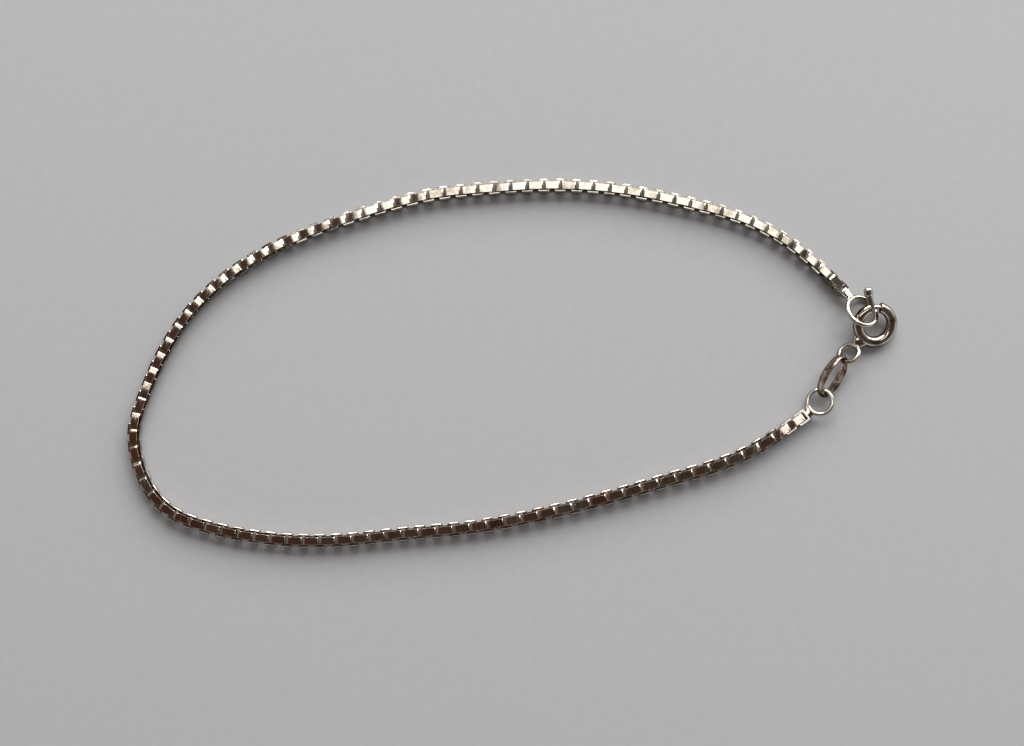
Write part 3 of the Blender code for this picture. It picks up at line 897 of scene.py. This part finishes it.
def scratch_group(name):
    """Returns a new group for fine scratches and the soft unevenness of rubbed metal."""
    tree, given, result = new_group(
        name,
        [
            ("Coordinates", VECTOR, None),
            ("Scale", NUMBER, 2500.0),
            ("Unevenness", NUMBER, 0.5),
        ],
        [("Height", NUMBER), ("Mask", NUMBER)],
    )
    layers = []
    for turn, spot in SCRATCH_LAYERS:
        mapped = wire_node(
            tree, "ShaderNodeMapping", (-700, spot),
            {"Vector": given["Coordinates"], "Rotation": (0.0, 0.0, turn),
             "Scale": (1.0, SCRATCH_SQUEEZE, 1.0)})
        noise = wire_node(
            tree, "ShaderNodeTexNoise", (-500, spot),
            {"Vector": mapped.outputs["Vector"], "Scale": given["Scale"], "Detail": 2.0})
        layers.append(noise.outputs["Fac"])
    lines = calculate(tree, (-300, 200), "MINIMUM", *layers)
    sharp = ramp(tree, (-120, 200), lines, SCRATCH_SPAN, smooth=False)
    soft = wire_node(
        tree, "ShaderNodeTexNoise", (-500, -120),
        {"Vector": given["Coordinates"], "Scale": WAVE_SCALE, "Detail": 1.0})
    waves = calculate(tree, (-120, -60), "MULTIPLY", soft.outputs["Fac"], given["Unevenness"])
    height = calculate(tree, (120, 100), "MULTIPLY_ADD", sharp, SCRATCH_HEIGHT, waves)
    tree.links.new(height, result["Height"])
    tree.links.new(sharp, result["Mask"])
    return tree


def gold_group(name):
    """Returns a new group that lays worn gold, copper and dark film over each other; the dark film is
    tarnish and painted shade.
    """
    tree, given, result = new_group(
        name,
        [
            ("Clean Gold", COLOUR, None),
            ("Worn Gold", COLOUR, None),
            ("Copper Film", COLOUR, None),
            ("Film And Shade Colour", COLOUR, None),
            ("Tone", NUMBER, 0.5),
            ("Copper", NUMBER, 0.0),
            ("Tarnish And Shade", NUMBER, 0.0),
            ("Scratches", NUMBER, 1.0),
            ("Polish", NUMBER, 0.16),
            ("Dullness", NUMBER, 0.42),
        ],
        [("Color", COLOUR), ("Roughness", NUMBER)],
    )
    rubbed = blend_colours(tree, (-500, 300), given["Tone"], given["Clean Gold"], given["Worn Gold"])
    reddish = blend_colours(tree, (-250, 250), given["Copper"], rubbed, given["Copper Film"])
    # The dark film lays tarnish and painted shade over the gold
    filmed = blend_colours(tree, (0, 200), given["Tarnish And Shade"], reddish, given["Film And Shade Colour"])
    scratched = calculate(tree, (-500, -100), "SUBTRACT", 1.0, given["Scratches"])
    faint = calculate(tree, (-300, -100), "MULTIPLY", scratched, SCRATCH_DULLING)
    polish = calculate(tree, (-100, -100), "ADD", given["Polish"], faint)
    spread = calculate(tree, (-100, -260), "SUBTRACT", given["Dullness"], polish)
    dull = calculate(tree, (100, -200), "MULTIPLY", spread, given["Tarnish And Shade"])
    red = calculate(tree, (-100, -420), "POWER", given["Copper"], COPPER_POWER)
    grainy = calculate(tree, (100, -420), "MULTIPLY", red, COPPER_DULLING)
    filmy = calculate(tree, (300, -300), "ADD", dull, grainy)
    rough = calculate(tree, (500, -100), "ADD", polish, filmy, clamp=True)
    tree.links.new(filmed, result["Color"])
    tree.links.new(rough, result["Roughness"])
    return tree


def gold_material(name, finish, wear_and_shade):
    """Makes the worn gold of one piece."""
    material = bpy.data.materials.new(name)
    material.use_nodes = True
    tree = material.node_tree
    shader = tree.nodes["Principled BSDF"]
    shader.location = (500, 0)
    tree.nodes["Material Output"].location = (800, 0)
    shader.inputs["Metallic"].default_value = 1.0
    coordinates = wire_node(tree, "ShaderNodeTexCoord", (-1100, 0)).outputs["Object"]
    hollow, tone, copper = [
        wire_node(tree, "ShaderNodeAttribute", (-1100, height), attribute_name=label).outputs["Fac"]
        for label, height in (("hollow", -200), ("tone", -350), ("copper", -500))
    ]
    facing = wire_node(tree, "ShaderNodeNewGeometry", (-1100, 250)).outputs["Normal"]
    upward = wire_node(tree, "ShaderNodeSeparateXYZ", (-900, 250), {"Vector": facing}).outputs["Z"]
    # Mask of tarnish patches and of painted shade on inner faces and steep sides
    tarnish_and_shade = group_node(tree, (-700, 200), "tarnish_and_shade", film_and_shade_group, {
        "Coordinates": coordinates, "Hollow": hollow, "Tone": tone, "Upward": upward,
        "Patch Scale": wear_and_shade.patch_scale, "Amount": wear_and_shade.film, "Side Shade": wear_and_shade.side_film})
    scratches = group_node(tree, (-700, -100), "fine_scratches", scratch_group, {
        "Coordinates": coordinates, "Scale": wear_and_shade.scratch_scale, "Unevenness": WAVE_HEIGHT})
    gold = group_node(tree, (-200, 100), "worn_gold", gold_group, {
        "Clean Gold": (*finish.clean, 1.0), "Worn Gold": (*finish.worn, 1.0),
        "Copper Film": (*finish.copper, 1.0), "Film And Shade Colour": (*finish.tarnish_and_shade, 1.0),
        "Tone": tone, "Copper": copper, "Tarnish And Shade": tarnish_and_shade["Mask"], "Scratches": scratches["Mask"],
        "Polish": finish.polish * wear_and_shade.roughness, "Dullness": finish.dullness})
    bump = wire_node(
        tree, "ShaderNodeBump", (200, -200),
        {"Height": scratches["Height"], "Strength": wear_and_shade.relief, "Distance": BUMP_DISTANCE})
    tree.links.new(gold["Color"], shader.inputs["Base Color"])
    tree.links.new(gold["Roughness"], shader.inputs["Roughness"])
    tree.links.new(bump.outputs["Normal"], shader.inputs["Normal"])
    return material


def surface_material(stage):
    """Makes the plain pale surface."""
    material = bpy.data.materials.new("pale_surface")
    material.use_nodes = True
    tree = material.node_tree
    shader = tree.nodes["Principled BSDF"]
    shader.inputs["Roughness"].default_value = SURFACE_ROUGHNESS
    shader.inputs["Specular IOR Level"].default_value = SURFACE_GLOSS
    coordinates = wire_node(tree, "ShaderNodeTexCoord", (-800, 0)).outputs["Object"]
    grain = wire_node(
        tree, "ShaderNodeTexNoise", (-600, 0),
        {"Vector": coordinates, "Scale": GRAIN_SCALE, "Detail": 4.0})
    paler = [min(each * (1.0 + GRAIN), 1.0) for each in stage.floor_colour]
    darker = [each * (1.0 - GRAIN) for each in stage.floor_colour]
    mixed = blend_colours(tree, (-300, 0), grain.outputs["Fac"], (*darker, 1.0), (*paler, 1.0))
    tree.links.new(mixed, shader.inputs["Base Color"])
    return material


class BRACELET_OT_chain(bpy.types.Operator):
    """Adds the chain's two halves, link by link"""

    bl_idname = "bracelet.add_chain"
    bl_label = "Chain"

    def execute(self, context):
        chain = context.scene.bracelet_chain
        finish = context.scene.bracelet_finish
        rng = random.Random(WEAR_SEED)
        frames = link_frames(chain)
        links = (model_link(chain, chain.rim_softness), model_link(chain, chain.plate_softness))
        middle = LAST_NEAR_LINK + 1
        # The near half takes heavier patch film, which paints shade on it
        halves = (
            ("near_chain", "chain_near_half", "chain_near_gold", NEAR_CHAIN_WEAR_AND_SHADE, range(1, middle)),
            ("far_chain", "chain_far_half", "chain_far_gold", FAR_CHAIN_WEAR_AND_SHADE,
             range(middle, len(frames) - 1)),
        )
        for name, node, slot, wear_and_shade, numbers in halves:
            parts = []
            for i in numbers:
                matrix = leaning(frames[i], i % 2 == 1, chain, rng)
                film = rng.uniform(0.0, UPRIGHT_COPPER) if i % 2 else FLAT_COPPER
                copper = copper_share(frames[i].translation) * film
                copy = copied_link(links[i % 2], matrix, rng.random(), copper)
                raise_to_surface(copy)
                parts.append(copy)
            gold = gold_material(name + "_gold", finish, wear_and_shade)
            dress(joined(parts), name, "bracelet", [node], slot, gold)
        for link in links:
            bpy.data.objects.remove(link)
        return {"FINISHED"}


class BRACELET_OT_end_rings(bpy.types.Operator):
    """Adds the ring and the soldered link at each end of the chain"""

    bl_idname = "bracelet.add_end_rings"
    bl_label = "End Rings"

    def execute(self, context):
        chain = context.scene.bracelet_chain
        rings = context.scene.bracelet_rings
        finish = context.scene.bracelet_finish
        frames = link_frames(chain)
        link = model_link(chain, chain.rim_softness)
        near = tilted_frame(rings.near_centre, rings.near_tilt, rings.near_uphill)
        far = tilted_frame(rings.far_centre, rings.far_tilt, rings.far_uphill)
        for name, node, link_frame, ring, radius, outline in (
            ("near_ring", "near_end_ring", frames[0], near, rings.near_radius, NEAR_WEB),
            ("far_ring", "far_end_ring", frames[-1], far, rings.far_radius, FAR_WEB),
        ):
            piece = end_piece(link, name, chain, link_frame, ring, radius, rings.wire, outline)
            mark_evenly(piece, tone=0.2)
            shade_round(piece)
            gold = gold_material(name + "_gold", finish, RING_WEAR_AND_SHADE)
            dress(piece, name, "bracelet", [node], name + "_gold", gold)
        bpy.data.objects.remove(link)
        return {"FINISHED"}


class BRACELET_OT_clasp(bpy.types.Operator):
    """Adds the clasp's tube with its gap, bore and slot, and the bail on its neck"""

    bl_idname = "bracelet.add_clasp"
    bl_label = "Clasp"

    def execute(self, context):
        sizes = context.scene.bracelet_clasp
        finish = context.scene.bracelet_finish
        ring = tilted_frame(sizes.centre, sizes.tilt, sizes.uphill)
        sweep = sizes.gap_right + math.tau - sizes.gap_left
        tube = spun_wire("clasp_tube", sizes.radius, sizes.tube, sweep, steps=96, sides=32)
        round_ends(tube, sizes.rim_softness)
        settle(tube, Matrix.Rotation(sizes.gap_left, 4, "Z"))
        for name, start, end, steps in (
            ("bore", sizes.gap_left - CUT_OVERRUN, sizes.bore_end, 40),
            ("seat", sizes.seat_end, sizes.gap_right + CUT_OVERRUN, 4),
        ):
            hole = spun_wire(name, sizes.radius, sizes.bore, end - start, steps, sides=24)
            settle(hole, Matrix.Rotation(start, 4, "Z"))
            combine(tube, hole, "DIFFERENCE")
        combine(tube, self.slot_cutter(sizes), "DIFFERENCE")
        settle(tube, ring)
        bail = tilted_frame(sizes.bail_centre, sizes.bail_tilt, sizes.bail_uphill)
        combine(tube, wire_ring("bail", bail, sizes.bail_radius, sizes.bail_wire), "UNION")
        combine(tube, self.neck(sizes, ring, bail), "UNION")
        mark_evenly(tube, tone=0.7)
        shade_round(tube)
        # The clasp's heavy film and side film paint shade on it
        gold = gold_material("clasp_gold_finish", finish, CLASP_WEAR_AND_SHADE)
        dress(tube, "clasp", "bracelet", ["clasp_ring"], "clasp_gold", gold)
        return {"FINISHED"}

    @staticmethod
    def slot_cutter(sizes):
        """Spins the cutter of the slot that the knob's stem slides in."""
        stem_turn = (sizes.stem + STEM_CLEARANCE) / sizes.radius
        start = sizes.gap_left - CUT_OVERRUN
        end = sizes.knob_angle + sizes.knob_travel + stem_turn
        start_clean()
        middle = (0.0, sizes.radius + sizes.tube, 0.0)
        bpy.ops.mesh.primitive_plane_add(size=1.0, location=middle, rotation=(0.0, QUARTER, 0.0))
        cutter = open_new("slot")
        bpy.ops.transform.resize(
            value=(1.0, 2.0 * sizes.tube, 2.0 * sizes.slot_half_height), center_override=middle)
        bpy.ops.mesh.spin(steps=16, angle=start - end, center=ORIGIN, axis=UP)
        face_out(cutter)
        settle(cutter, Matrix.Rotation(start, 4, "Z"))
        return cutter

    @staticmethod
    def neck(sizes, ring, bail):
        """Bridges the short solder neck between the tube and the bail."""
        root = on_circle(ring, sizes.radius + sizes.tube / 2, sizes.neck_angle)
        seat = nearest_on_ring(bail, sizes.bail_radius, root)
        along = (seat - root).normalized()
        up = along.cross(UP).cross(along)
        sections = [
            (section_place(root.lerp(seat, part_way), along, up), sizes.bail_wire * wide,
             sizes.bail_wire * high)
            for part_way, wide, high in NECK_OUTLINE
        ]
        return bridged_bar("neck", sections, sides=24)


class BRACELET_OT_tongue(bpy.types.Operator):
    """Adds the clasp's sprung tongue with the knob on its stem"""

    bl_idname = "bracelet.add_tongue"
    bl_label = "Tongue"

    def execute(self, context):
        sizes = context.scene.bracelet_clasp
        finish = context.scene.bracelet_finish
        ring = tilted_frame(sizes.centre, sizes.tilt, sizes.uphill)
        sweep = sizes.tongue_tail - sizes.tongue_tip
        tongue = spun_wire("tongue_wire", sizes.radius, sizes.tongue_wire, sweep, steps=24, sides=24)
        round_ends(tongue, TONGUE_SOFTNESS)
        settle(tongue, Matrix.Rotation(sizes.tongue_tip, 4, "Z"))
        combine(tongue, self.knob(sizes), "UNION")
        settle(tongue, ring)
        mark_evenly(tongue, tone=0.4)
        shade_round(tongue)
        gold = gold_material("tongue_gold_finish", finish, TONGUE_WEAR_AND_SHADE)
        dress(tongue, "tongue", "tongue", ["clasp_tongue"], "tongue_gold", gold)
        return {"FINISHED"}

    @staticmethod
    def knob(sizes):
        """Bridges the stem and the rounded knob on its end."""
        stem_end = sizes.knob_start - (sizes.knob - sizes.stem)
        profile = [(sizes.radius, sizes.stem), (stem_end, sizes.stem)]
        for part_way, part in KNOB_OUTLINE:
            reach = sizes.knob_start + (sizes.knob_top - sizes.knob_start) * part_way
            profile.append((reach, sizes.knob * part))
        forward = Vector((0.0, 1.0, 0.0))
        sections = [
            (section_place(forward * reach, forward, UP), radius, radius * sizes.knob_flatness)
            for reach, radius in profile
        ]
        knob = bridged_bar("knob", sections, sides=28)
        settle(knob, Matrix.Rotation(sizes.knob_angle, 4, "Z"))
        return knob


class BRACELET_OT_leaf(bpy.types.Operator):
    """Adds the oval link whose strip widens to a leaf on each long side"""

    bl_idname = "bracelet.add_leaf"
    bl_label = "Leaf Link"

    def execute(self, context):
        sizes = context.scene.bracelet_leaf
        finish = context.scene.bracelet_finish
        half_length = (sizes.length - sizes.thickness) / 2
        half_breadth = (sizes.breadth - sizes.thickness) / 2
        start_clean()
        bpy.ops.mesh.primitive_cylinder_add(
            vertices=LEAF_COLUMNS, radius=1.0, depth=sizes.end_width, end_fill_type="NOTHING")
        leaf = bpy.context.object
        bpy.ops.object.mode_set(mode="EDIT")
        bpy.ops.mesh.select_all(action="SELECT")
        bpy.ops.transform.resize(
            value=(half_length, half_breadth, 1.0), center_override=ORIGIN)
        pick(
            leaf, "EDGE",
            lambda edge: abs(edge.verts[0].co.z - edge.verts[1].co.z) > sizes.end_width / 2)
        bpy.ops.mesh.subdivide(number_cuts=LEAF_CUTS)
        self.widen(leaf, sizes, half_breadth)
        self.crown(leaf, sizes, half_length, half_breadth)
        bpy.ops.mesh.select_all(action="SELECT")
        bpy.ops.mesh.normals_make_consistent(inside=False)
        start_clean()
        self.thicken(leaf, sizes)
        self.dent(leaf, sizes, half_length, half_breadth)
        soften(leaf, LEAF_SOFTNESS)
        turn = (
            Matrix.Rotation(sizes.heading, 4, "Z")
            @ Matrix.Rotation(-sizes.rise, 4, "Y")
            @ Matrix.Rotation(sizes.roll, 4, "X")
        )
        settle(leaf, Matrix.Translation(sizes.centre) @ turn)
        mark_evenly(leaf, tone=1.0, copper=0.25)
        shade_round(leaf)
        # The leaf's heavy film, full tone and side film paint shade on it
        gold = gold_material("leaf_gold_finish", finish, LEAF_WEAR_AND_SHADE)
        dress(leaf, "leaf", "bracelet", ["leaf_link"], "leaf_gold", gold)
        return {"FINISHED"}

    @staticmethod
    def widen(leaf, sizes, half_breadth):
        """Widens the strip column by column towards the middle of each long side."""
        last = LEAF_COLUMNS // 4
        for column in range(last + 1):
            part = math.sin(QUARTER * column / last)
            spread = part ** sizes.fullness
            grow = 1.0 + (sizes.middle_width / sizes.end_width - 1.0) * spread
            level = part * half_breadth
            pick(leaf, "VERT", lambda vertex: abs(abs(vertex.co.y) - level) < COLUMN_TOLERANCE)
            bpy.ops.transform.resize(value=(1.0, 1.0, grow), center_override=ORIGIN)

    @staticmethod
    def crown(leaf, sizes, half_length, half_breadth):
        """Bulges the strip outward along its middle."""
        for row, rise in LEAF_ROWS:
            def in_row(vertex):
                """Tells whether a vertex lies in this row of the strip."""
                part = min(abs(vertex.co.y) / half_breadth, 1.0)
                spread = part ** sizes.fullness
                half_width = (sizes.end_width + (sizes.middle_width - sizes.end_width) * spread) / 2
                return abs(abs(vertex.co.z) - row * half_width) < ROW_TOLERANCE * half_width

            pick(leaf, "VERT", in_row)
            bulge = rise * sizes.crown
            bpy.ops.transform.resize(
                value=(1.0 + bulge / half_length, 1.0 + bulge / half_breadth, 1.0),
                center_override=ORIGIN)

    @staticmethod
    def thicken(leaf, sizes):
        """Gives the strip its thickness."""
        make_active(leaf)
        modifier = leaf.modifiers.new("thickness", "SOLIDIFY")
        modifier.thickness = sizes.thickness
        modifier.offset = 0.0
        modifier.use_even_offset = True
        bpy.ops.object.modifier_apply(modifier=modifier.name)

    @staticmethod
    def dent(leaf, sizes, half_length, half_breadth):
        """Presses two staggered rows of small dents into the inner side of each leaf."""
        def dented(face):
            """Tells whether a face is a dent's place: inside, near the middle, and not on a rim."""
            middle = face.calc_center_median()
            inner = face.normal.y * middle.y < 0.0 and abs(face.normal.z) < 0.4
            in_width = abs(middle.z) < DENTED_WIDTH * sizes.middle_width
            in_length = abs(middle.x) < DENTED_LENGTH * half_length
            turn = math.atan2(middle.y / half_breadth, middle.x / half_length)
            column = math.floor(turn / math.tau * LEAF_COLUMNS)
            every_other = (column + (middle.z > 0.0)) % 2 == 0
            return inner and in_width and in_length and every_other

        open_mesh(leaf, "FACE")
        pick(leaf, "FACE", dented)
        bpy.ops.mesh.inset(thickness=DENT_EDGE, depth=-sizes.dent_depth, use_individual=True)
        start_clean()


class BRACELET_OT_stage(bpy.types.Operator):
    """Adds the pale surface, the soft light, the dim room and the camera"""

    bl_idname = "bracelet.add_stage"
    bl_label = "Stage"

    def execute(self, context):
        stage = context.scene.bracelet_stage
        start_clean()
        bpy.ops.mesh.primitive_plane_add(size=SURFACE_SIZE)
        floor = context.object
        floor.name = "surface"
        floor.data.materials.append(surface_material(stage))
        self.add_light(
            "top_light", stage.top_centre, stage.top_width, stage.top_depth, stage.top_power)
        # The light overhead hangs level instead of facing the bracelet
        context.object.rotation_euler = (0.0, 0.0, stage.top_turn)
        self.add_light(
            "side_light", stage.side_centre, stage.side_width, stage.side_height, stage.side_power)
        self.add_light(
            "corner_light", stage.corner_centre, stage.corner_width, stage.corner_height,
            stage.corner_power)
        self.add_room(context.scene, stage)
        bpy.ops.object.camera_add(location=stage.camera_place, rotation=(0.0, 0.0, 0.0))
        camera = context.object
        camera.data.lens = stage.lens
        camera.data.sensor_width = 36.0
        camera.data.clip_start = 0.01
        camera.data.clip_end = 20.0
        context.scene.camera = camera
        context.scene.view_settings.view_transform = "Standard"
        return {"FINISHED"}

    @staticmethod
    def add_light(name, centre, width, height, watts):
        """Adds a soft light that faces the bracelet."""
        turn = (-Vector(centre)).to_track_quat("-Z", "Y").to_euler()
        bpy.ops.object.light_add(type="AREA", location=centre, rotation=turn)
        light = bpy.context.object
        light.name = name
        light.visible_camera = False
        light.data.shape = "RECTANGLE"
        light.data.size = width
        light.data.size_y = height
        light.data.energy = watts

    @staticmethod
    def add_room(scene, stage):
        """Makes the dim room, which looks pale only where the camera sees it past the surface."""
        world = bpy.data.worlds.new("room")
        scene.world = world
        world.use_nodes = True
        tree = world.node_tree
        heading = wire_node(tree, "ShaderNodeTexCoord", (-900, 0)).outputs["Generated"]
        parts = wire_node(tree, "ShaderNodeSeparateXYZ", (-700, 0), {"Vector": heading}).outputs
        height = ramp(tree, (-500, 100), parts["Z"], CEILING_SPAN)
        levels = (stage.near_walls, stage.far_walls)
        walls = ramp(tree, (-500, -200), parts["Y"], WALL_SPAN, levels, smooth=False)
        low = ramp(tree, (-500, 400), parts["Z"], HORIZON_SPAN)
        pale_level = (stage.horizon, stage.horizon, stage.horizon, 1.0)
        walls = blend_colours(tree, (-300, 100), low, pale_level, walls)
        side = ramp(tree, (-500, -450), parts["X"], CEILING_TURN, smooth=False)
        above = blend_colours(
            tree, (-300, -300), side, (*stage.left_ceiling, 1.0), (*stage.right_ceiling, 1.0))
        dim = tree.nodes["Background"]
        room = blend_colours(tree, (-100, 0), height, walls, above)
        tree.links.new(room, dim.inputs["Color"])
        pale = wire_node(tree, "ShaderNodeBackground", (0, -200), {"Color": BACKDROP})
        seen = wire_node(tree, "ShaderNodeLightPath", (-200, 200)).outputs["Is Camera Ray"]
        mixed = wire_node(
            tree, "ShaderNodeMixShader", (250, 0),
            {0: seen, 1: dim.outputs["Background"], 2: pale.outputs["Background"]})
        tree.links.new(mixed.outputs["Shader"], tree.nodes["World Output"].inputs["Surface"])


OPERATORS = (
    BRACELET_OT_chain,
    BRACELET_OT_end_rings,
    BRACELET_OT_clasp,
    BRACELET_OT_tongue,
    BRACELET_OT_leaf,
    BRACELET_OT_stage,
)


class BRACELET_PT_pieces(bpy.types.Panel):
    """Lists the bracelet's pieces"""

    bl_idname = "BRACELET_PT_pieces"
    bl_label = "Box Chain Bracelet"
    bl_space_type = "VIEW_3D"
    bl_region_type = "UI"
    bl_category = "Bracelet"

    def draw(self, context):
        for operator in OPERATORS:
            self.layout.operator(operator.bl_idname)


GROUPS = {
    "bracelet_chain": ChainSizes,
    "bracelet_rings": RingSizes,
    "bracelet_clasp": ClaspSizes,
    "bracelet_leaf": LeafSizes,
    "bracelet_finish": Finish,
    "bracelet_stage": StageSettings,
}


def register():
    """Registers the settings, the operators and the panel."""
    for name, group in GROUPS.items():
        bpy.utils.register_class(group)
        setattr(bpy.types.Scene, name, PointerProperty(type=group))
    for each in (*OPERATORS, BRACELET_PT_pieces):
        bpy.utils.register_class(each)


def unregister():
    """Takes the panel, the operators and the settings away again."""
    for each in (BRACELET_PT_pieces, *reversed(OPERATORS)):
        bpy.utils.unregister_class(each)
    for name, group in GROUPS.items():
        delattr(bpy.types.Scene, name)
        bpy.utils.unregister_class(group)


def main():
    """Builds every piece and the stage."""
    register()
    bpy.ops.bracelet.add_chain()
    bpy.ops.bracelet.add_end_rings()
    bpy.ops.bracelet.add_clasp()
    bpy.ops.bracelet.add_tongue()
    bpy.ops.bracelet.add_leaf()
    bpy.ops.bracelet.add_stage()
    bpy.context.view_layer.update()


if __name__ == "__main__":
    main()
